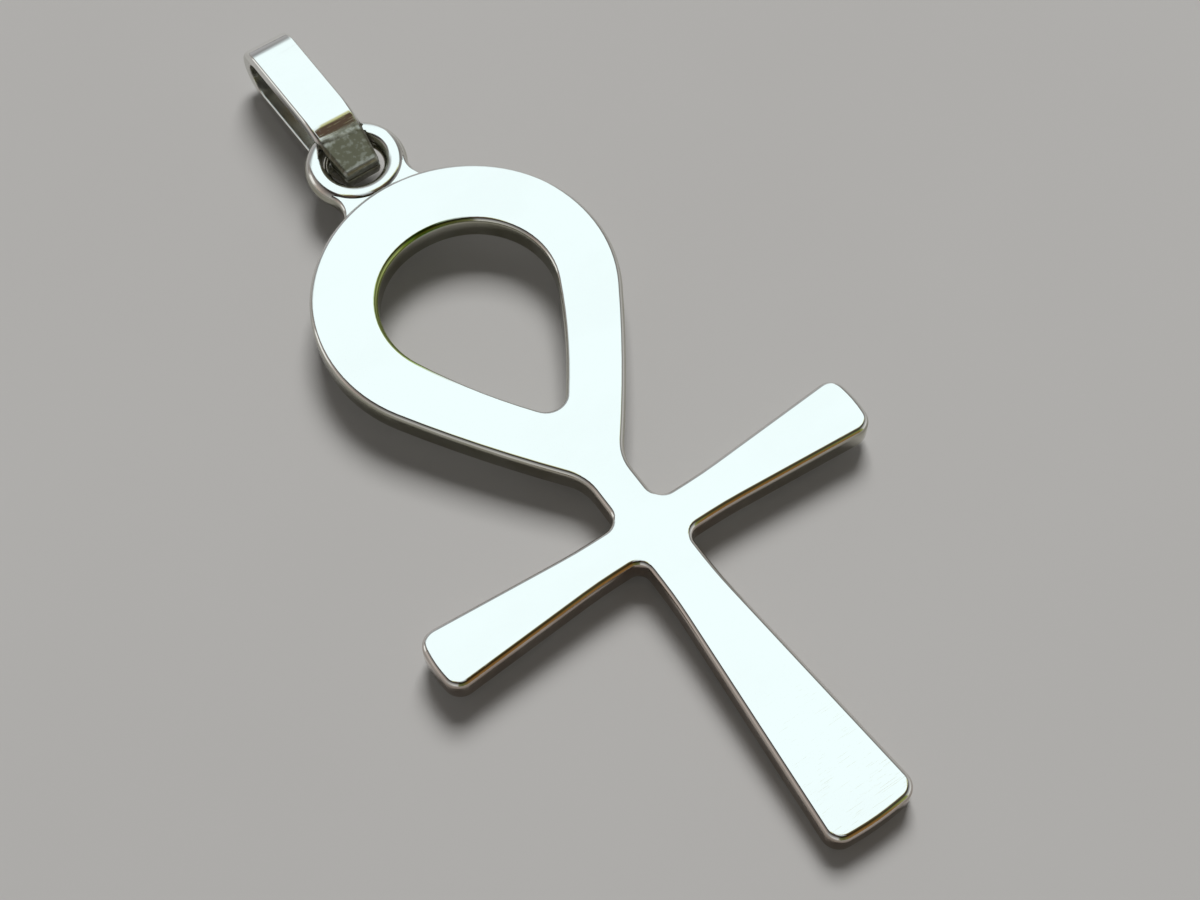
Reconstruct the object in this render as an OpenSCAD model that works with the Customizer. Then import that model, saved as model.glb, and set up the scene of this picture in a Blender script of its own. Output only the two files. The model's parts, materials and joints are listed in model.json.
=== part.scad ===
// A small silver ankh pendant, lying on its back as it comes to rest on a table.
// The ankh is one flat plate, cut to a cross with a teardrop loop.
// A round wire ring is soldered to the top of the loop, level with the plate's back.
// The bail is a strip bent round to a long teardrop and closed, free on the ring.
// The frame: X across the arms, Y from the foot of the stem towards the bail, Z up,
// with Z = 0 on the table and the origin under the middle of the whole pendant.
// All sizes are in millimetres, and heights on the plate are from the arms' centre line.

/* [Plate] */
// Thickness of the plate
plate_t = 1.5; // [1.2:0.1:2.2]

/* [Stem] */
// Length from the arms' centre line to the corners of the foot
stem_len = 16.5; // [12:0.5:24]
// Width of the foot, measured between its corners
stem_end_w = 4.66; // [4:0.1:6]
// Width where the stem leaves the cross
stem_root_w = 2.53; // [2:0.1:3.2]
// Distance below the arms' centre line at which the stem starts to flare
stem_flare = 3.5; // [2.6:0.1:6]
// How far the middle of the foot is bowed out past its corners
stem_bow = 0.2; // [0.1:0.05:0.3]
// Radius of the foot's corners
stem_corner_r = 0.85; // [0.6:0.05:1]

/* [Arms] */
// Distance from the middle to the corners of an arm's end
arm_reach = 11.6; // [9:0.5:16]
// Width of an arm's end, measured between its corners
arm_tip_w = 3.26; // [2.8:0.1:4.4]
// Width where the arms leave the cross
arm_root_w = 2.15; // [1.8:0.1:2.6]
// Distance from the middle at which an arm starts to flare
arm_flare = 3.5; // [3:0.1:6]
// How far the middle of an arm's end is bowed out past its corners
arm_bow = 0.22; // [0.1:0.02:0.3]
// Radius of an arm's corners
arm_corner_r = 0.85; // [0.6:0.05:0.9]
// Radius of the inner corners between stem and arms
lower_crotch_r = 0.6; // [0.4:0.05:1]
// Radius of the inner corners between arms and neck
upper_crotch_r = 0.75; // [0.4:0.05:1]
// Radius of the gentle bends at which stem and arms start to flare
flare_r = 25; // [10:1:28]

/* [Loop] */
// Outer width of the loop
loop_w = 15.16; // [13:0.5:20]
// Height of the loop's widest place
loop_y = 15.45; // [14:0.5:20]
// Radius of the loop's long flanks
flank_r = 75; // [40:5:90]
// Width of the neck under the loop
neck_w = 2.2; // [1.8:0.1:2.6]
// Height at which the neck starts to open into the loop
neck_y = 3; // [2.4:0.1:3.6]
// Radius of the curve from the neck into the flanks
neck_r = 2.3; // [1.5:0.1:3]

/* [Loop opening] */
// Width of the band over the opening
band_top = 3.56; // [2.5:0.1:4.5]
// Width of the band at each side of the opening
band_side = 3.19; // [2.5:0.1:4]
// Height of the opening's lower point
opening_tip = 7.65; // [7:0.1:9]
// Radius of the opening's lower point
opening_tip_r = 0.97; // [0.6:0.05:1.4]
// Radius of the opening's top
opening_top_r = 4.84; // [4.6:0.1:6]
// Radius of the opening's shoulders
opening_shoulder_r = 4.2; // [3:0.1:4.3]
// Radius of the opening's long flanks
opening_flank_r = 30; // [22:1:60]

/* [Ring] */
// Outer diameter of the soldered ring
ring_d = 5.2; // [5.2:0.1:6.5]
// Diameter of the ring's wire
wire_d = 1.2; // [1:0.05:1.25]
// How deep the wire is let into the loop's edge
ring_sink = 0.2; // [0.1:0.05:0.3]
// How far the ring sits off the pendant's centre line
ring_x = -0.2; // [-0.4:0.05:0.4]
// Radius of the solder that fills the corners between ring and loop
solder_r = 1.3; // [0.8:0.1:1.6]
// Thickness of the solder in those corners
solder_t = 0.9; // [0.6:0.05:1.1]

/* [Bail] */
// Width of the bail's strip
bail_w = 2.5; // [2.1:0.05:2.5]
// Thickness of the bail's strip
strip_t = 0.72; // [0.5:0.02:1]
// Distance from the ring's wire to the centre of the bail's round end
bail_reach = 5.8; // [4.5:0.1:8]
// Inner diameter of the bail's round end
bail_end_d = 2; // [1.8:0.1:2.6]
// Width of the bail's closed end at its tip
tail_w = 1.95; // [1.7:0.05:2.05]
// Thickness of the closed end at its tip
tail_t = 1; // [0.8:0.05:1.2]
// Angle between the bail's axis and each face of its closed end
tail_angle = 20; // [17:1:23]
// Gap between the closed end's corners and the ring
tail_gap = 0.13; // [0.1:0.01:0.2]
// Play between the bail's inside and the ring's wire
bail_play = 0.12; // [0.08:0.01:0.18]
// Angle by which the bail's round end hangs below the ring's plane
bail_droop = 5.2; // [3:0.1:8]

/* [Hidden] */
$fn = 96;

// Largest distance between a curve of the plate's outline and its short straight sides
curve_tolerance = 0.004;
// How far the solder reaches into the loop and the ring
solder_bite = 0.3;
// Distance along the bail, past the ring's wire, at which its closed end starts to narrow
narrowing_y = -0.4;
// How far a cutter reaches past what it cuts
cut_over = 0.5;

loop_r = loop_w / 2;
loop_c = [0, loop_y];
neck_c = [neck_w / 2 + neck_r, neck_y];
wire_r = wire_d / 2;
ring_r = ring_d / 2 - wire_r;
hole_r = ring_r - wire_r;
bail_half = bail_w / 2;

function direction(angle) = [cos(angle), sin(angle)];
function heading(from, to) = atan2(to[1] - from[1], to[0] - from[0]);
function turn_between(a, b) = (b - a + 540) % 360 - 180;

// Where two circles cross, on the left of the way from the first centre to the second
function crossing(c1, r1, c2, r2) =
    let (
        apart = norm(c2 - c1),
        ahead = (c2 - c1) / apart,
        along = (r1 * r1 - r2 * r2 + apart * apart) / (2 * apart),
        aside = sqrt(r1 * r1 - along * along)
    )
    c1 + along * ahead + aside * [-ahead[1], ahead[0]];

// An outline is a list of arcs, each [centre, radius, first angle, last angle], with the
// metal on its left. An arc that turns left bulges out, and one that turns right is hollow.
function arc_to(centre, radius, first, last) = [centre, radius, first, first + turn_between(first, last)];

// The arc that rounds the corner at a point between its two neighbours. It takes up at most
// half of the shorter side beside it.
function corner(before, at, after, radius) =
    let (
        way_in = heading(before, at),
        turn = turn_between(way_in, heading(at, after)),
        room = min(norm(at - before), norm(after - at)) / 2,
        fitted = min(radius, room / tan(abs(turn) / 2)),
        side = sign(turn),
        centre = at + fitted / cos(turn / 2) * direction(way_in + turn / 2 + 90 * side)
    )
    [centre, fitted, way_in - 90 * side, way_in - 90 * side + turn];

// The radius of a bowed end's arc, which touches the middle of the slope on each side
function bow_r(half_w, height) = norm([half_w, height]) / 2 * half_w / height;

function mirrored(arc) = [[-arc[0][0], arc[0][1]], arc[1], 180 - arc[3], 180 - arc[2]];
function mirrored_back(arcs) = [for (i = [len(arcs) - 1:-1:0]) mirrored(arcs[i])];

// The points of an outline. Arcs that touch share a point, which is kept once.
function arc_steps(arc) = ceil(abs(arc[3] - arc[2]) / (2 * acos(1 - curve_tolerance / arc[1])));
function arc_point(arc, share) = arc[0] + arc[1] * direction(arc[2] + (arc[3] - arc[2]) * share);
function outline(arcs) = [
    for (i = [0:len(arcs) - 1])
        let (
            steps = arc_steps(arcs[i]),
            last = arc_point(arcs[(i + len(arcs) - 1) % len(arcs)], 1),
            joined = norm(arc_point(arcs[i], 0) - last) < curve_tolerance
        )
        for (j = [joined ? 1 : 0:steps])
            arc_point(arcs[i], j / steps)
];

// The corners of the cross from the foot to the neck, on the right: x, y, radius
cross_corners = [
    [0, -stem_len - stem_bow, bow_r(stem_end_w / 2, stem_bow)],
    [stem_end_w / 2, -stem_len, stem_corner_r],
    [stem_root_w / 2, -stem_flare, flare_r],
    [stem_root_w / 2, -arm_root_w / 2, lower_crotch_r],
    [arm_flare, -arm_root_w / 2, flare_r],
    [arm_reach, -arm_tip_w / 2, arm_corner_r],
    [arm_reach + arm_bow, 0, bow_r(arm_tip_w / 2, arm_bow)],
    [arm_reach, arm_tip_w / 2, arm_corner_r],
    [arm_flare, arm_root_w / 2, flare_r],
    [neck_w / 2, arm_root_w / 2, upper_crotch_r],
    [neck_w / 2, neck_y, 0],
];
function cross_point(i) = [cross_corners[i][0], cross_corners[i][1]];
foot_corner = cross_point(1);
foot_arc = corner([-foot_corner[0], foot_corner[1]], cross_point(0), foot_corner, cross_corners[0][2]);
cross_arcs = [
    for (i = [1:len(cross_corners) - 2])
        corner(cross_point(i - 1), cross_point(i), cross_point(i + 1), cross_corners[i][2])
];

// The flank touches the neck's curve from outside and the loop's circle from inside
flank_c = crossing(neck_c, flank_r + neck_r, loop_c, flank_r - loop_r);
neck_arc = arc_to(neck_c, neck_r, 180, heading(neck_c, flank_c));
flank_arc = arc_to(flank_c, flank_r, heading(flank_c, neck_c), heading(flank_c, loop_c));
loop_arc = [loop_c, loop_r, flank_arc[3], 180 - flank_arc[3]];
right_side = concat(cross_arcs, [neck_arc, flank_arc]);
plate_edge = concat([foot_arc], right_side, [loop_arc], mirrored_back(right_side));

// The opening is gone round the other way, so that the metal is on the left here too
opening_half_w = loop_r - band_side;
opening_top_c = [0, loop_y + loop_r - band_top - opening_top_r];
opening_shoulder_x = opening_half_w - opening_shoulder_r;
opening_shoulder_c = opening_top_c
    + [opening_shoulder_x, sqrt((opening_top_r - opening_shoulder_r) ^ 2 - opening_shoulder_x ^ 2)];
opening_tip_c = [0, opening_tip + opening_tip_r];
opening_flank_c = crossing(
    opening_tip_c, opening_flank_r - opening_tip_r,
    opening_shoulder_c, opening_flank_r - opening_shoulder_r
);
tip_angle = heading(opening_flank_c, opening_tip_c);
shoulder_angle = heading(opening_flank_c, opening_shoulder_c);
top_angle = heading(opening_top_c, opening_shoulder_c);
opening_right = [
    [opening_shoulder_c, opening_shoulder_r, top_angle, shoulder_angle],
    [opening_flank_c, opening_flank_r, shoulder_angle, tip_angle],
];
opening_edge = concat(
    [[opening_top_c, opening_top_r, 180 - top_angle, top_angle]],
    opening_right,
    [[opening_tip_c, opening_tip_r, tip_angle, -180 - tip_angle]],
    mirrored_back(opening_right)
);

// The flat plate
module plate() {
    linear_extrude(plate_t)
        difference() {
            polygon(outline(plate_edge));
            polygon(outline(opening_edge));
        }
}

// The wire ring lies level with the plate's back
ring_away = loop_r + ring_d / 2 - ring_sink;
ring_c = [ring_x, loop_y + sqrt(ring_away ^ 2 - ring_x ^ 2)];
module ring() {
    translate([ring_c[0], ring_c[1], wire_r])
        rotate_extrude()
            translate([ring_r, 0])
                circle(wire_r);
}

// Solder fills the corner on each side, between the loop's edge and the ring
module solder() {
    fillets = [
        crossing(loop_c, loop_r + solder_r, ring_c, ring_d / 2 + solder_r),
        crossing(ring_c, ring_d / 2 + solder_r, loop_c, loop_r + solder_r),
    ];
    meeting = loop_c + (loop_r - solder_bite) * direction(heading(loop_c, ring_c));
    for (fillet = fillets)
        translate([0, 0, wire_r - solder_t / 2])
            linear_extrude(solder_t)
                difference() {
                    polygon([
                        fillet,
                        loop_c + (loop_r - solder_bite) * direction(heading(loop_c, fillet)),
                        meeting,
                        ring_c + (ring_d / 2 - solder_bite) * direction(heading(ring_c, fillet)),
                    ]);
                    translate(fillet)
                        circle(solder_r);
                }
}

// The bail's side view: its axis runs along the first coordinate from the ring's wire at 0.
// The closed end must clear the wire at the strip's two sides, where the ring curves away.
wire_near = sqrt(hole_r ^ 2 - bail_half ^ 2);
wire_far = sqrt((ring_r + wire_r) ^ 2 - bail_half ^ 2);
eye_c = [(wire_near + wire_far) / 2 - ring_r, 0];
eye_r = (wire_far - wire_near) / 2 + bail_play;
end_c = [bail_reach, 0];
end_r = bail_end_d / 2;
tail_len = ring_r + sqrt((hole_r - tail_gap) ^ 2 - (tail_w / 2) ^ 2);
tail_corner = [-tail_len, tail_t / 2];
shank_r = eye_r + strip_t;
shank_c = [shank_r / sin(tail_angle) - tail_len - tail_corner[1] / tan(tail_angle), 0];
shank_touch = shank_c + shank_r * direction(90 + tail_angle);

// Two round ends on the axis joined by straight sides that touch both
module stadium(c1, r1, c2, r2) {
    lean = acos((r1 - r2) / (c2[0] - c1[0]));
    touch = direction(lean);
    up = [touch[0], touch[1]];
    down = [touch[0], -touch[1]];
    polygon([c1 + r1 * up, c1 + r1 * down, c2 + r2 * down, c2 + r2 * up]);
    translate(c1)
        circle(r1);
    translate(c2)
        circle(r2);
}

module bail_section() {
    difference() {
        union() {
            polygon([
                shank_touch,
                tail_corner,
                [tail_corner[0], -tail_corner[1]],
                [shank_touch[0], -shank_touch[1]],
            ]);
            stadium(shank_c, shank_r, end_c, end_r + strip_t);
        }
        stadium(eye_c, eye_r, end_c, end_r);
    }
}

// What is cut off each side of the closed end, seen from above, so that it fits the ring's hole
narrowing = (bail_half - tail_w / 2) / (narrowing_y + tail_len);
function narrowed_half(y) = tail_w / 2 + narrowing * (y + tail_len);
module beside_the_tail(side) {
    first_y = narrowing_y + cut_over;
    last_y = -tail_len - cut_over;
    translate([0, 0, -shank_r - cut_over])
        linear_extrude(2 * (shank_r + cut_over))
            polygon([
                [side * narrowed_half(first_y), first_y],
                [side * narrowed_half(last_y), last_y],
                [side * (bail_half + cut_over), last_y],
                [side * (bail_half + cut_over), first_y],
            ]);
}

module closed_strip() {
    difference() {
        rotate([90, 0, 90])
            translate([0, 0, -bail_half])
                linear_extrude(bail_w)
                    bail_section();
        beside_the_tail(-1);
        beside_the_tail(1);
    }
}

// At rest the foot's lower edge and the bail's round end both lie on the table
foot_angle = heading(cross_point(0), foot_corner);
foot_y = -stem_len - stem_bow + foot_arc[1] * (1 / cos(foot_angle) - 1);
bail_c = [
    ring_c[1] + ring_r + bail_reach * cos(bail_droop),
    wire_r - bail_reach * sin(bail_droop)
];
span = bail_c - [foot_y, 0];
rest_tilt = asin((end_r + strip_t) / norm(span)) - atan2(span[1], span[0]);
table_z = foot_y * sin(rest_tilt);
back_y = foot_y * cos(rest_tilt) - plate_t * sin(rest_tilt);
front_y = bail_c[0] * cos(rest_tilt) - bail_c[1] * sin(rest_tilt) + end_r + strip_t;

module at_rest() {
    translate([0, -(back_y + front_y) / 2, -table_z])
        rotate([rest_tilt, 0, 0])
            children();
}

module ankh() {
    color("silver")
        at_rest() {
            plate();
            ring();
            solder();
        }
}

module bail() {
    color("gainsboro")
        at_rest()
            translate([ring_c[0], ring_c[1] + ring_r, wire_r])
                rotate([-bail_droop, 0, 0])
                    closed_strip();
}

ankh();
bail();
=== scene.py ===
import json
import math

import bpy
from mathutils import Matrix, Vector


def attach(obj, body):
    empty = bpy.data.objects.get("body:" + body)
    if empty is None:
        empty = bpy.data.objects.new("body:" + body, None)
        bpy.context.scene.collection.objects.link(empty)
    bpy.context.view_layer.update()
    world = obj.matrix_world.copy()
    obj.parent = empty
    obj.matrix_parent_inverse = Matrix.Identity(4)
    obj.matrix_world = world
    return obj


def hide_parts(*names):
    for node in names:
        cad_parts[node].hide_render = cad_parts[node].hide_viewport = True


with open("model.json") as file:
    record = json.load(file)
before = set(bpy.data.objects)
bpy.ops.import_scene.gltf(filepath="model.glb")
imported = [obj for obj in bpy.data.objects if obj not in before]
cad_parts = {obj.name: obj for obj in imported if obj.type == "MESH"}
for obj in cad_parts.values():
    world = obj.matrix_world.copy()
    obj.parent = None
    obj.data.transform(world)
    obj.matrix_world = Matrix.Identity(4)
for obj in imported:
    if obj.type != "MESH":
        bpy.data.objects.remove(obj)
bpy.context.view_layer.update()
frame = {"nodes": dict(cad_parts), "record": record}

# The plate of the ankh is cut from thick sheet silver and polished flat on both sides. The
# wheel has rounded all its edges. Its outline comes from the CAD solid, and the mount on its
# back gives the plate's own frame: x across the arms, y towards the ring, z from back to face.
back_mount = next(mount for mount in frame["record"]["mounts"] if mount["name"] == "plate_back")
plate_tilt = math.atan2(back_mount["axis"][1], -back_mount["axis"][2])
plate_place = Matrix.Translation(back_mount["pos_m"]) @ Matrix.Rotation(plate_tilt, 4, "X")
plate_thickness = 0.0015
edge_rounding = 0.0003
edge_steps = 7
same_point = 1e-6
flat_within = math.radians(0.05)
sharp_from = math.radians(60)


def select_only(piece):
    """Leaves this one object selected and active."""
    bpy.ops.object.select_all(action="DESELECT")
    piece.select_set(True)
    bpy.context.view_layer.objects.active = piece


def apply_modifier(piece, kind, **settings):
    """Adds a modifier with these settings and applies it."""
    select_only(piece)
    bpy.ops.object.modifier_add(type=kind)
    modifier = piece.modifiers[-1]
    for setting, value in settings.items():
        setattr(modifier, setting, value)
    bpy.ops.object.modifier_apply(modifier=modifier.name)


# Only the plate's face is kept of the CAD solid, and it is drawn out to the thickness again
ankh = bpy.data.objects.new("polished_ankh", frame["nodes"]["ankh"].data.copy())
bpy.context.scene.collection.objects.link(ankh)
select_only(ankh)
bpy.ops.object.mode_set(mode="EDIT")
bpy.ops.mesh.customdata_custom_splitnormals_clear()
bpy.ops.mesh.select_mode(type="FACE")
bpy.ops.mesh.select_all(action="SELECT")
bpy.ops.mesh.remove_doubles(threshold=same_point)
bpy.ops.object.mode_set(mode="OBJECT")
into_plate_frame = plate_place.inverted()
for face in ankh.data.polygons:
    face.select = (into_plate_frame @ face.center).z < plate_thickness - 10 * same_point
bpy.ops.object.mode_set(mode="EDIT")
bpy.ops.mesh.delete(type="FACE")
bpy.ops.mesh.select_all(action="SELECT")
bpy.ops.mesh.dissolve_limited(angle_limit=flat_within)
through_the_plate = plate_place.to_3x3() @ Vector((0, 0, -plate_thickness))
bpy.ops.mesh.extrude_region_move(TRANSFORM_OT_translate={"value": through_the_plate})
bpy.ops.mesh.select_all(action="SELECT")
bpy.ops.mesh.normals_make_consistent(inside=False)
bpy.ops.mesh.select_mode(type="EDGE")
bpy.ops.mesh.select_all(action="DESELECT")
bpy.ops.mesh.edges_select_sharp(sharpness=sharp_from)
bpy.ops.mesh.bevel(offset=edge_rounding, segments=edge_steps, affect="EDGES", clamp_overlap=False)
bpy.ops.object.mode_set(mode="OBJECT")

# The ring at the loop's top is bent from round silver wire. It stands level with the plate's
# back, and its joint is let a little into the loop's edge.
wire_radius = 0.0006
wire_steps = 56
ring_radius = 0.002
ring_steps = 160
loop_radius = 0.00758
loop_centre = Vector((0, 0.01545, wire_radius))
ring_centre = Vector((-0.0002, 0.025428, wire_radius))


def put_in_place(piece, place):
    """Moves a piece that was made at the origin, and keeps its new place in its mesh."""
    select_only(piece)
    piece.matrix_world = place
    bpy.ops.object.transform_apply(location=True, rotation=True, scale=True)


bpy.ops.mesh.primitive_torus_add(
    major_radius=ring_radius,
    minor_radius=wire_radius,
    major_segments=ring_steps,
    minor_segments=wire_steps,
)
ring = bpy.context.active_object
put_in_place(ring, plate_place @ Matrix.Translation(ring_centre))

# Silver solder has filled the two corners between the ring and the loop's edge. It is flat on
# top, a little below the ring and the plate, and leaves a round hollow on its open side.
solder_hollow = 0.0013
solder_bite = 0.0003
solder_overlap = 0.00003
solder_low = 0.00012
solder_high = 0.00108
solder_rounding = 0.00028
solder_steps = 5
arc_step = math.radians(4)
smooth_up_to = math.radians(35)
x_axis, y_axis, z_axis = Vector((1, 0, 0)), Vector((0, 1, 0)), Vector((0, 0, 1))
axis_and_start = {"Z": (z_axis, x_axis), "X": (x_axis, y_axis)}


class Arc:
    """An arc round Z, with angles from X, or round X, with angles from Y. A corner's radius is 0."""

    def __init__(self, middle, radius, axis):
        self.middle = Vector(middle)
        self.radius = radius
        self.axis, self.start_way = axis_and_start[axis]

    def point(self, angle):
        """The point of the arc at an angle."""
        sideways = self.axis.cross(self.start_way)
        outwards = self.start_way * math.cos(angle) + sideways * math.sin(angle)
        return self.middle + outwards * self.radius

    def angle_to(self, point):
        """The angle at which a point is seen from the middle of an arc round Z."""
        return math.atan2(point.y - self.middle.y, point.x - self.middle.x)


def draw_outline(name, arcs):
    """Starts a piece: a filled line of arcs, each with its first and last angle, and straight runs."""
    bpy.ops.object.select_all(action="DESELECT")
    bpy.ops.mesh.primitive_plane_add(size=wire_radius)
    piece = bpy.context.active_object
    piece.name = name
    bpy.ops.object.mode_set(mode="EDIT")
    bpy.ops.mesh.select_mode(type="VERT")
    bpy.ops.mesh.merge(type="CENTER")
    first_point = arcs[0][0].point(arcs[0][1])
    bpy.ops.transform.translate(value=first_point)
    pen = first_point
    for arc, first, last in arcs:
        start = arc.point(first)
        if (start - pen).length > same_point:
            bpy.ops.mesh.extrude_region_move(TRANSFORM_OT_translate={"value": start - pen})
        steps = math.ceil(abs(last - first) / arc_step)
        if steps:
            bpy.ops.mesh.spin(steps=steps, angle=first - last, center=arc.middle, axis=arc.axis)
        pen = arc.point(last)
    bpy.ops.mesh.extrude_region_move(TRANSFORM_OT_translate={"value": first_point - pen})
    bpy.ops.mesh.select_all(action="SELECT")
    bpy.ops.mesh.remove_doubles(threshold=same_point)
    bpy.ops.mesh.edge_face_add()
    bpy.ops.mesh.select_all(action="SELECT")
    return piece


def solder_wedge(side):
    """Makes the solder on one side of the ring, left (-1) or right (1)."""
    # The hollow is part of a circle that touches both the ring and the loop's edge
    to_loop = loop_centre - ring_centre
    ring_reach = ring_radius + wire_radius + solder_hollow - solder_overlap
    loop_reach = loop_radius + solder_hollow - solder_overlap
    forward = (ring_reach**2 - loop_reach**2 + to_loop.length**2) / (2 * to_loop.length)
    ahead = to_loop.normalized()
    aside = Vector((-ahead.y, ahead.x, 0)) * math.sqrt(ring_reach**2 - forward**2)
    level = Vector((0, 0, solder_low - wire_radius))
    hollow = Arc(ring_centre + ahead * forward + aside * side + level, solder_hollow, "Z")
    to_ring = hollow.angle_to(ring_centre)
    to_plate = to_ring + math.remainder(hollow.angle_to(loop_centre) - to_ring, 2 * math.pi)
    bitten = Arc(hollow.middle, solder_hollow + solder_bite, "Z")
    behind_the_edge = loop_centre + level - ahead * (loop_radius - solder_bite)
    wedge = draw_outline("solder", [
        (hollow, to_ring, to_plate),
        (Arc(bitten.point(to_plate), 0, "Z"), 0, 0),
        (Arc(behind_the_edge, 0, "Z"), 0, 0),
        (Arc(bitten.point(to_ring), 0, "Z"), 0, 0),
    ])
    thickness = (0, 0, solder_high - solder_low)
    bpy.ops.mesh.extrude_region_move(TRANSFORM_OT_translate={"value": thickness})
    bpy.ops.mesh.select_all(action="SELECT")
    bpy.ops.mesh.normals_make_consistent(inside=False)
    bpy.ops.mesh.select_mode(type="EDGE")
    bpy.ops.mesh.select_all(action="DESELECT")
    bpy.ops.object.mode_set(mode="OBJECT")
    for edge in wedge.data.edges:
        ends = [wedge.data.vertices[corner].co - hollow.middle for corner in edge.vertices]
        on_hollow = all(abs(end.xy.length - solder_hollow) < same_point for end in ends)
        edge.select = on_hollow and abs(ends[0].z - ends[1].z) < same_point
    bpy.ops.object.mode_set(mode="EDIT")
    bpy.ops.mesh.bevel(
        offset=solder_rounding, segments=solder_steps, affect="EDGES", clamp_overlap=False
    )
    bpy.ops.object.mode_set(mode="OBJECT")
    put_in_place(wedge, plate_place)
    return wedge


def smooth_curved_faces(piece):
    """Shades the curved faces smoothly, and lets the flat ones look flat."""
    select_only(piece)
    bpy.ops.object.shade_smooth_by_angle(angle=smooth_up_to)
    apply_modifier(piece, "WEIGHTED_NORMAL", keep_sharp=True)


for soldered_on in [ring, solder_wedge(-1), solder_wedge(1)]:
    apply_modifier(ankh, "BOOLEAN", operation="UNION", solver="EXACT", object=soldered_on)
    bpy.data.objects.remove(soldered_on)

smooth_curved_faces(ankh)
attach(ankh, "root")
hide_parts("ankh")

# All of the ankh has one polish: a mirror with fine wiping scratches and a few smudges. Its walls
# carry a painted reflection of dark, coloured surroundings: patchy olive-brown, more red towards
# the foot and the left arm, more olive at the loop and yellow-green on its inner edge. The solder's
# seam is brown too.
clean_silver = (0.945, 0.945, 0.925, 1)
olive_reflection_and_smudge = (0.29, 0.28, 0.19, 1)
red_reflection_and_smudge = (0.36, 0.27, 0.2, 1)
towards_the_foot = (-0.5, -0.866, 0)
redder_fade = (0.0025, 0.009)
wall_fade = (0.3, 0.92)
wall_patchiness = (0.7, 1)
patch_fade = (0.2, 0.8)
smudge_fade = (0.48, 0.7)
smudge_browning = 0.02
scratch_fade = (0.6, 0.72)
crossing_fade = (0.62, 0.74)
crossing_share = 0.7
mirror_roughness = 0.035
wall_dulling = 0.06
smudge_dulling = 0.03
scratch_dulling = 0.025
relief_depth = 0.000002
scratch_share = 0.25
ripple_share = 0.12
millimetre = 0.001


class Signal:
    """One output of a shader node. Arithmetic on signals adds Math nodes to their tree."""

    def __init__(self, tree, socket=None):
        self.tree = tree
        self.socket = socket

    def node(self, kind, settings=None, inputs=None, output=None):
        """Adds a node: its settings first, then the value or signal of each named input."""
        node = self.tree.nodes.new(kind)
        for name, value in (settings or {}).items():
            if name == "stops":
                while len(node.color_ramp.elements) < len(value):
                    node.color_ramp.elements.new(1)
                for element, (position, colour) in zip(node.color_ramp.elements, value):
                    element.position = position
                    element.color = (*colour, 1)
            else:
                setattr(node, name, value)
        open_inputs = [socket for socket in node.inputs if socket.enabled]
        for name, value in (inputs or {}).items():
            by_name = [socket for socket in open_inputs if socket.name == name]
            socket = by_name[0] if by_name else open_inputs[name]
            if isinstance(value, Signal):
                self.tree.links.new(value.socket, socket)
            else:
                socket.default_value = value
        open_outputs = [socket for socket in node.outputs if socket.enabled]
        named = [socket for socket in open_outputs if output in (None, socket.name)]
        return Signal(self.tree, named[0])

    def maths(self, operation, *values):
        """Adds a Math node with this operation."""
        return self.node("ShaderNodeMath", {"operation": operation}, dict(enumerate(values)))

    def __add__(self, other):
        return self.maths("ADD", self, other)

    __radd__ = __add__

    def __sub__(self, other):
        return self.maths("SUBTRACT", self, other)

    def __rsub__(self, other):
        return self.maths("SUBTRACT", other, self)

    def __mul__(self, other):
        return self.maths("MULTIPLY", self, other)

    __rmul__ = __mul__

    def __abs__(self):
        return self.maths("ABSOLUTE", self)

    def rise(self, low, high):
        """Goes softly from 0 where this signal is at low to 1 where it is at high."""
        limits = {"Value": self, "From Min": low, "From Max": high}
        return self.node("ShaderNodeMapRange", {"interpolation_type": "SMOOTHSTEP"}, limits)

    def between(self, start, end):
        """1 between two limits, each of which is a low and a high value to fade between."""
        return self.rise(*start) * (1 - self.rise(*end))

    def span(self, lowest, highest):
        """The lowest value where this signal is 0 and the highest where it is 1."""
        return self * (highest - lowest) + lowest

    def mix(self, first, second):
        """The first colour where this signal is 0 and the second where it is 1."""
        colours = {"Factor": self, "A": first, "B": second}
        return self.node("ShaderNodeMix", {"data_type": "RGBA"}, colours)

    def cloud(self, size, detail, stretch=(1, 1, 1), turn=0.0):
        """Noise on this vector: the size of its blots, and how they are stretched and turned."""
        mapping = {"Vector": self, "Rotation": (0, 0, math.radians(turn)), "Scale": stretch}
        turned = self.node("ShaderNodeMapping", {"vector_type": "POINT"}, mapping)
        noise = {"Vector": turned, "Scale": 1 / size, "Detail": detail}
        return turned.node("ShaderNodeTexNoise", None, noise)

    def plan_distance(self, point):
        """How far this vector is from a point, seen from above."""
        away = self.node("ShaderNodeVectorMath", {"operation": "SUBTRACT"}, {0: self, 1: point})
        flat = self.node("ShaderNodeVectorMath", {"operation": "MULTIPLY"}, {0: away, 1: (1, 1, 0)})
        return self.node("ShaderNodeVectorMath", {"operation": "LENGTH"}, {0: flat})

    def along(self, origin, axis):
        """How far this vector is from an origin along an axis."""
        away = self.node("ShaderNodeVectorMath", {"operation": "SUBTRACT"}, {0: self, 1: origin})
        return self.node("ShaderNodeVectorMath", {"operation": "DOT_PRODUCT"}, {0: away, 1: axis})

    def levelness(self):
        """1 where the surface lies level and 0 where it stands upright."""
        facing = self.node("ShaderNodeNewGeometry", output="Normal")
        return abs(facing.node("ShaderNodeSeparateXYZ", None, {0: facing}, "Z"))


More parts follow.
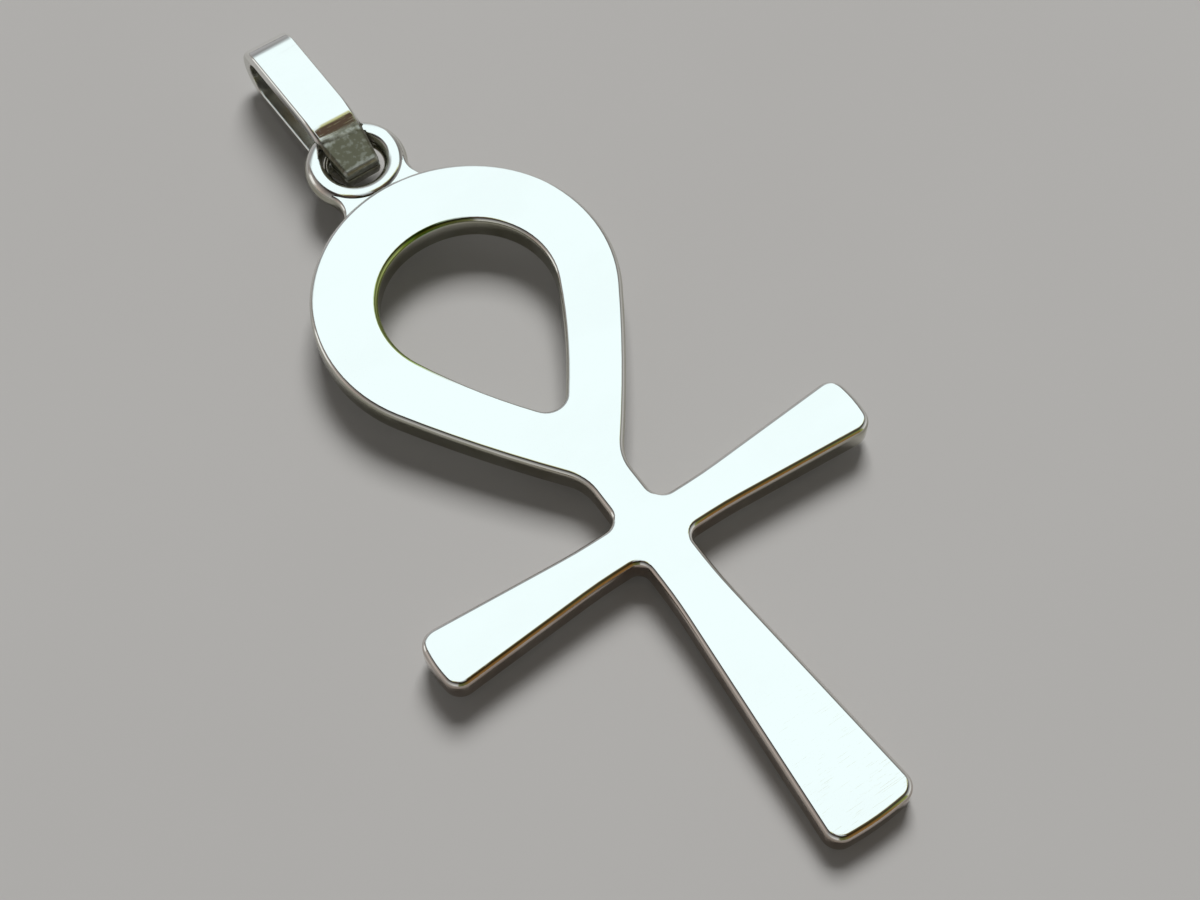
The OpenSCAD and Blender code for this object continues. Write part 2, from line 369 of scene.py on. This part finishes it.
def finish_silver(piece, painted_wall_reflection, own_marks_and_painted_light):
    """Polishes a piece and paints reflections on its walls. Its own marks and painted light: share,
    tone, dullness and relief.
    """
    material = bpy.data.materials.new(piece.name)
    material.use_nodes = True
    tree = Signal(material.node_tree)
    shader = material.node_tree.nodes["Principled BSDF"]
    place = tree.node("ShaderNodeTexCoord", output="Object")
    wall = 1 - place.levelness().rise(*wall_fade)

    smudge = place.cloud(size=6 * millimetre, detail=3, stretch=(1, 1.6, 1), turn=35)
    scratch = place.cloud(size=1.4 * millimetre, detail=3, stretch=(1, 38, 1), turn=24)
    crossing = place.cloud(size=1.1 * millimetre, detail=3, stretch=(30, 1, 1), turn=-17)
    smudges = smudge.rise(*smudge_fade)
    wiped = scratch.rise(*scratch_fade) + crossing.rise(*crossing_fade) * crossing_share
    ripple = place.cloud(size=0.5 * millimetre, detail=2)
    patches = place.cloud(size=2.5 * millimetre, detail=3).rise(*patch_fade)
    redder = place.along((0, 0, 0), towards_the_foot).rise(*redder_fade)
    reflection_and_smudge_tone = redder.mix(olive_reflection_and_smudge, red_reflection_and_smudge)
    own_share, own_tone, own_dulling, own_relief = own_marks_and_painted_light(place)

    # Painted reflection: the walls are darkened and tinted olive to red, as if they mirrored dark,
    # coloured surroundings; smudges add a faint brown tint too
    reflection_and_smudge_share = wall * patches.span(*wall_patchiness) * painted_wall_reflection + smudges * smudge_browning
    tone = own_share.mix(reflection_and_smudge_share.mix(clean_silver, reflection_and_smudge_tone), own_tone)
    material.node_tree.links.new(tone.socket, shader.inputs["Base Color"])
    dulling = smudges * smudge_dulling + wiped * scratch_dulling + wall * wall_dulling + own_dulling
    roughness = dulling + mirror_roughness
    material.node_tree.links.new(roughness.socket, shader.inputs["Roughness"])
    height = wiped * -scratch_share + ripple * ripple_share + own_relief
    bumps = {"Strength": 1.0, "Distance": relief_depth, "Height": height}
    bump = height.node("ShaderNodeBump", None, bumps)
    material.node_tree.links.new(bump.socket, shader.inputs["Normal"])
    shader.inputs["Metallic"].default_value = 1
    piece.data.materials.clear()
    piece.data.materials.append(material)


# The seam and the solder beside the ring are marks of the ankh alone, and so is the painted green
# reflection on the loop's inner edge
seam_brown = (0.42, 0.34, 0.22, 1)
seam_radius = loop_radius + 0.00004
seam_fade = (0.00002, 0.00009)
seam_share = 0.8
solder_fade = (0.0036, 0.0042)
solder_dulling = (0.02, 0.1)
plate_fade = (loop_radius, loop_radius + 0.0002)
yellow_green = (0.4, 0.48, 0.14, 1)
deep_green = (0.15, 0.4, 0.08, 1)
green_reflection_share = 0.95
rounded_edge_fades = ((0.1, 0.4), (0.94, 0.98))
opening_fade = (0.0056, 0.0058)
towards_the_green = (-0.8, 0.6, 0)
green_fade = (-0.0006, 0.0024)
towards_the_deep_green = (0.5, 0.866, 0)
deep_green_fade = (0.0028, 0.0036)


def ankh_marks_and_painted_reflection(place):
    """The brown seam and the grainy solder by the ring, and a painted green reflection on the loop's
    inner edge.
    """
    centre = plate_place @ loop_centre
    from_centre = place.plan_distance(centre)
    near_ring = 1 - place.plan_distance(plate_place @ ring_centre).rise(*solder_fade)
    seam = near_ring * (1 - abs(from_centre - seam_radius).rise(*seam_fade))
    solder = near_ring * from_centre.rise(*plate_fade)
    solder_grain = place.cloud(size=0.35 * millimetre, detail=3)

    # Painted reflection: part of the loop's rounded inner edge is tinted yellow-green, turning deeper
    # green towards its top right
    rounded_edge = place.levelness().between(*rounded_edge_fades)
    in_the_opening = 1 - from_centre.rise(*opening_fade)
    green_side = place.along(centre, towards_the_green).rise(*green_fade)
    green_reflection = rounded_edge * in_the_opening * green_side
    deepened = place.along(centre, towards_the_deep_green).rise(*deep_green_fade)
    tone = green_reflection.mix(seam_brown, deepened.mix(yellow_green, deep_green))
    share = seam * seam_share + green_reflection * green_reflection_share
    return share, tone, solder * solder_grain.span(*solder_dulling), solder * solder_grain


# The ankh's walls get most of the painted reflection
finish_silver(ankh, painted_wall_reflection=0.9, own_marks_and_painted_light=ankh_marks_and_painted_reflection)

# The bail is a silver strip that is bent round at its far end and closed over the ring's wire
# at the near one. There it folds down, and its two ends are pinched together to a blunt, narrower
# tail, with a crease across it and a fine slit between them. It hangs on the ring.
strip_width = 0.0025
strip_thickness = 0.00072
bail_dip = math.radians(-5.2)
bail_hanging_point = ring_centre + Vector((0, ring_radius, 0))
bail_place = plate_place @ Matrix.Translation(bail_hanging_point) @ Matrix.Rotation(bail_dip, 4, "X")
quarter = math.radians(90)
half_turn = math.radians(180)


def side_arc(along, height, radius):
    """An arc of the bail's side view: where its middle is along the bail and above its axis."""
    return Arc((0, along, height), radius, "X")


def tangent_angle(arc, other):
    """The angle from the bail's axis at which one straight line touches both arcs."""
    return math.acos((arc.radius - other.radius) / (other.middle.y - arc.middle.y))


far_bend = side_arc(along=0.0058, height=0, radius=0.001)
eye = side_arc(along=-0.000545, height=0, radius=0.000945)
far_outside = side_arc(far_bend.middle.y, 0, far_bend.radius + strip_thickness)
shank = side_arc(along=0.00068, height=0, radius=eye.radius + strip_thickness)

tail_slope = math.radians(20)
tail_end = -0.002814
tail_half_height = 0.0005
tail_corner_radius = 0.00025
fold = side_arc(along=0.000892, height=-0.000933, radius=0.0026)
fold_slope = math.radians(25)
crease = side_arc(along=-0.00085, height=0.001123, radius=0)
slit_half_height = 0.00003
lip_radius = 0.0001
corner_height = tail_half_height - tail_corner_radius * math.tan((quarter - tail_slope) / 2)
upper_corner = side_arc(tail_end + tail_corner_radius, corner_height, tail_corner_radius)
lower_corner = side_arc(tail_end + tail_corner_radius, -corner_height, tail_corner_radius)
upper_lip = side_arc(tail_end + lip_radius, slit_half_height + lip_radius, lip_radius)
lower_lip = side_arc(tail_end + lip_radius, -slit_half_height - lip_radius, lip_radius)

tail_turn = quarter + tail_slope
shank_turn = tangent_angle(shank, far_outside)
eye_turn = tangent_angle(eye, far_bend)
slit_turn = half_turn - math.asin(slit_half_height / eye.radius)
bail = draw_outline("polished_bail", [
    (far_outside, -shank_turn, shank_turn),
    (fold, shank_turn, quarter + fold_slope),
    (crease, 0, 0),
    (upper_corner, tail_turn, half_turn),
    (upper_lip, half_turn, half_turn + quarter),
    (eye, slit_turn, eye_turn),
    (far_bend, eye_turn, -eye_turn),
    (eye, -eye_turn, -slit_turn),
    (lower_lip, quarter, half_turn),
    (lower_corner, half_turn, 2 * half_turn - tail_turn),
    (shank, 2 * half_turn - tail_turn, 2 * half_turn - shank_turn),
])
bpy.ops.transform.translate(value=(-strip_width / 2, 0, 0))
bpy.ops.mesh.extrude_region_move(TRANSFORM_OT_translate={"value": (strip_width, 0, 0)})
bpy.ops.mesh.select_all(action="SELECT")
bpy.ops.mesh.normals_make_consistent(inside=False)

# Both sides of the tail are filed to a taper, so that it fits the ring's hole
narrowing_start = -0.0004
tail_half_width = 0.000975
for side in (-1, 1):
    along_the_cut = Vector((tail_half_width - strip_width / 2, tail_end - narrowing_start, 0))
    bpy.ops.mesh.select_all(action="SELECT")
    bpy.ops.mesh.bisect(
        plane_co=(side * strip_width / 2, narrowing_start, 0),
        plane_no=(-side * along_the_cut.y, along_the_cut.x, 0),
        use_fill=True,
        clear_outer=True,
        threshold=same_point / 10,
    )

# The crease is a low ridge that runs slightly askew across the upper face of the tail
tail_facing = Vector((0, -math.sin(tail_slope), math.cos(tail_slope)))
crease_skew = 0.12
crease_facing = Vector((crease_skew, 1, 0)).normalized()
crease_height = 0.00002
crease_reach = 0.00028
row_spacing = 0.00009
row_count = 3
same_facing = math.cos(math.radians(5.7))


def tail_faces():
    """The faces of the tail's upper side, found in object mode."""
    bpy.ops.object.mode_set(mode="OBJECT")
    return [face for face in bail.data.polygons if face.normal.dot(tail_facing) > same_facing]


for row in range(-row_count, row_count + 1):
    bpy.ops.mesh.select_mode(type="FACE")
    bpy.ops.mesh.select_all(action="DESELECT")
    for face in tail_faces():
        face.select = True
    bpy.ops.object.mode_set(mode="EDIT")
    row_middle = crease.middle + crease_facing * row * row_spacing
    bpy.ops.mesh.bisect(plane_co=row_middle, plane_no=crease_facing, threshold=same_point / 10)
bpy.ops.mesh.select_mode(type="VERT")
bpy.ops.mesh.select_all(action="DESELECT")
for face in tail_faces():
    for corner in face.vertices:
        vertex = bail.data.vertices[corner]
        vertex.select = abs((vertex.co - crease.middle).dot(crease_facing)) < same_point
bpy.ops.object.mode_set(mode="EDIT")
bpy.ops.transform.translate(
    value=tail_facing * crease_height,
    use_proportional_edit=True,
    proportional_edit_falloff="SMOOTH",
    proportional_size=crease_reach,
)
bpy.ops.object.mode_set(mode="OBJECT")

# The strip's outer edges are polished round, and its inner ones are only just broken
outer_rounding = 0.00022
outer_steps = 5
inner_share = 0.4
inside_reach = 0.00105
lip_reach = 0.0002
facing_sideways = 0.5
side_edges = set()
strip_edges = set()
for face in bail.data.polygons:
    if abs(face.normal.x) > facing_sideways:
        side_edges.update(face.edge_keys)
    else:
        strip_edges.update(face.edge_keys)
weights = bail.data.attributes.new("bevel_weight_edge", "FLOAT", "EDGE")
for edge in bail.data.edges:
    if edge.key in side_edges and edge.key in strip_edges:
        ends = [bail.data.vertices[corner].co for corner in edge.vertices]
        middle = (ends[0] + ends[1]) / 2
        on_axis = Vector((middle.x, min(max(middle.y, eye.middle.y), far_bend.middle.y), 0))
        in_the_eye = (middle - on_axis).length < inside_reach
        in_the_slit = middle.y < eye.middle.y - eye.radius / 2 and abs(middle.z) < lip_reach
        weights.data[edge.index].value = inner_share if in_the_eye or in_the_slit else 1
apply_modifier(
    bail,
    "BEVEL",
    limit_method="WEIGHT",
    width=outer_rounding,
    segments=outer_steps,
    use_clamp_overlap=False,
)
put_in_place(bail, bail_place)
smooth_curved_faces(bail)
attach(bail, "root")
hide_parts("bail")

# Olive-grey darkens the mottled tail, less near its end, and paints shade inside the bail's eye
olive_grey = (0.19, 0.18, 0.13, 1)
tail_fade = (-0.0008, -0.0004)
tail_darkening = (0.62, 0.96)
tail_dulling = (0.26, 0.32)
spot_fade = (0.3, 0.7)
lighter_end_fade = (-0.0027, -0.0024)
end_lightening = 0.5
inside_fade = (0.00102, 0.00112)
inside_painted_shade = 0.25
inside_dulling = 0.14


def bail_marks_and_painted_shade(place):
    """The darker, mottled olive-grey tail with its lighter end, and the duller inside of the strip
    with painted shade.
    """
    along_the_bail = place.along(bail_place.translation, bail_place.col[1].to_3d())
    off_the_axis = abs(place.along(bail_place.translation, bail_place.col[2].to_3d()))
    tail = 1 - along_the_bail.rise(*tail_fade)
    near_the_end = 1 - along_the_bail.rise(*lighter_end_fade)
    # Painted shade: the inside of the eye, between the two strips, is darkened olive-grey
    inside = 1 - off_the_axis.rise(*inside_fade)
    mottle = place.cloud(size=0.25 * millimetre, detail=4)
    spots = mottle.rise(*spot_fade)
    darker_tail = tail * spots.span(*tail_darkening) * (1 - near_the_end * end_lightening)
    dulling = tail * spots.span(*tail_dulling) + inside * inside_dulling
    return darker_tail + inside * inside_painted_shade, olive_grey, dulling, tail * mottle


# The bail's walls get a little of the painted reflection
finish_silver(bail, painted_wall_reflection=0.2, own_marks_and_painted_light=bail_marks_and_painted_shade)

# The pendant lies on a plain pale floor.
floor_size = 6
floor_shade = (0.6, 0.59, 0.575, 1)
floor_pale = (0.64, 0.635, 0.62, 1)
bpy.ops.mesh.primitive_plane_add(size=floor_size)
floor = bpy.context.active_object
floor.name = "floor"
floor_finish = bpy.data.materials.new("pale_floor")
floor_finish.use_nodes = True
floor_shader = floor_finish.node_tree.nodes["Principled BSDF"]
floor_place = Signal(floor_finish.node_tree).node("ShaderNodeTexCoord", output="Object")
floor_tone = floor_place.cloud(size=30 * millimetre, detail=4).mix(floor_shade, floor_pale)
floor_finish.node_tree.links.new(floor_tone.socket, floor_shader.inputs["Base Color"])
floor_shader.inputs["Roughness"].default_value = 0.85
floor_shader.inputs["Specular IOR Level"].default_value = 0.2
floor.data.materials.append(floor_finish)

# A soft lamp beyond the pendant lights the floor. The metal mirrors the studio instead.
lamp_direction = Vector((0.4, 0.48, 0.78)).normalized()
lamp_distance = 2.7
lamp_size = 1.2
lamp_radiance = 12
bpy.ops.object.light_add(type="AREA", location=lamp_direction * lamp_distance)
lamp = bpy.context.active_object
lamp.rotation_euler = lamp_direction.to_track_quat("Z", "Y").to_euler()
lamp.data.size = lamp_size
lamp.data.energy = lamp_radiance * math.pi * lamp_size**2
lamp.visible_camera = False
lamp.visible_glossy = False

# The studio that the polished silver mirrors: coloured walls all round, a dark ceiling with a
# grey screen right overhead, a white card at the far left and one large soft box over the far
# side. The walls' colours go by degrees round the pendant, from its right side past its far
# end, and their light by height. The camera sees a plain pale backdrop.
wall_colours = [
    (-180, (0.5, 0.48, 0.46)),
    (-150, (0.8, 0.8, 0.78)),
    (-133, (0.8, 0.8, 0.78)),
    (-126, (0.24, 0.25, 0.12)),
    (-110, (0.16, 0.17, 0.06)),
    (-94, (0.24, 0.2, 0.06)),
    (-80, (0.32, 0.17, 0.05)),
    (-69.5, (0.32, 0.17, 0.05)),
    (-67, (0.34, 0.38, 0.12)),
    (-57, (0.38, 0.42, 0.15)),
    (-51, (0.78, 0.79, 0.72)),
    (-30, (0.8, 0.8, 0.78)),
    (20, (0.3, 0.29, 0.27)),
    (90, (0.42, 0.42, 0.43)),
    (120, (0.3, 0.28, 0.26)),
    (135, (0.6, 0.54, 0.5)),
    (158, (0.62, 0.55, 0.5)),
    (166, (0.5, 0.42, 0.38)),
    (180, (0.5, 0.48, 0.46)),
]
wall_light = [
    (0, (0.25, 0.25, 0.25)),
    (0.04, (0.7, 0.7, 0.7)),
    (0.1, (1, 1, 1)),
    (0.3, (0.8, 0.8, 0.8)),
    (0.5, (0.5, 0.5, 0.5)),
    (0.66, (0.33, 0.33, 0.33)),
    (0.76, (0.12, 0.12, 0.12)),
    (0.83, (0.04, 0.04, 0.04)),
    (0.9, (0.1, 0.075, 0.06)),
    (0.96, (0.13, 0.09, 0.065)),
    (1, (0.13, 0.09, 0.065)),
]
softbox_white = (0.93, 1.06, 1.08, 1)
softbox_fringe = (0.55, 0.56, 0.27, 1)
softbox_sides = ((-0.41, -0.35), (0.7, 0.76))
softbox_depth = ((-0.05, 0.03), (0.7, 0.92))
softbox_foot = (0, 0.1)
fringe_fade = (0.03, 0.115)
card_white = (0.95, 0.95, 0.92, 1)
card_sides = ((127.8, 130.32), (144, 151.2))
card_top = (0.36, 0.42)
screen_grey = (0.2, 0.2, 0.2, 1)
screen_side = (0.1, 0.14)
screen_depth = ((-0.4, -0.32), (0.12, 0.13))
screen_fade = (-0.36, 0.13)
backdrop_tone = (0.5, 0.49, 0.475, 1)
ambient_tone = (0.13, 0.125, 0.12, 1)

world = bpy.data.worlds.new("studio")
bpy.context.scene.world = world
world.use_nodes = True
studio = Signal(world.node_tree)
direction = studio.node("ShaderNodeTexCoord", output="Generated")
east, north, up = (
    direction.node("ShaderNodeSeparateXYZ", None, {0: direction}, axis) for axis in "XYZ"
)
bearing = studio.maths("ARCTAN2", north, east) * math.degrees(1)
wall_stops = [((degrees + 180) / 360, colour) for degrees, colour in wall_colours]
wall_turn = {"Fac": (bearing + 180) * (1 / 360)}
wall_colour = studio.node("ShaderNodeValToRGB", {"stops": wall_stops}, wall_turn)
wall_dimming = studio.node("ShaderNodeValToRGB", {"stops": wall_light}, {"Fac": up})
walls = studio.node(
    "ShaderNodeMix",
    {"data_type": "RGBA", "blend_type": "MULTIPLY"},
    {"Factor": 1.0, "A": wall_colour, "B": wall_dimming},
)
card = bearing.between(*card_sides) * (1 - up.rise(*card_top))
with_card = card.mix(walls, card_white)
softbox = east.between(*softbox_sides) * north.between(*softbox_depth) * up.rise(*softbox_foot)
softbox_colour = north.rise(*fringe_fade).mix(softbox_fringe, softbox_white)
with_softbox = softbox.mix(with_card, softbox_colour)
screen = north.between(*screen_depth) * (1 - abs(east).rise(*screen_side))
screen_colour = north.rise(*screen_fade).mix(screen_grey, softbox_white)
mirrored = screen.mix(with_softbox, screen_colour)
to_camera = studio.node("ShaderNodeLightPath", output="Is Camera Ray")
to_mirror = studio.node("ShaderNodeLightPath", output="Is Glossy Ray")
seen = to_camera.mix(to_mirror.mix(ambient_tone, mirrored), backdrop_tone)
world.node_tree.links.new(seen.socket, world.node_tree.nodes["Background"].inputs["Color"])

# The camera looks down on the pendant from in front and to the left, as the photo does.
camera_place = Vector((-0.023439, -0.043136, 0.082758))
camera_turn = [math.radians(angle) for angle in (29.3167, 1.7115, -34.7114)]
bpy.ops.object.camera_add(location=camera_place, rotation=camera_turn)
camera = bpy.context.active_object
camera.data.sensor_width = 36
camera.data.lens = 60
camera.data.clip_start = 0.005
bpy.context.scene.camera = camera
bpy.context.scene.view_settings.view_transform = "Standard"
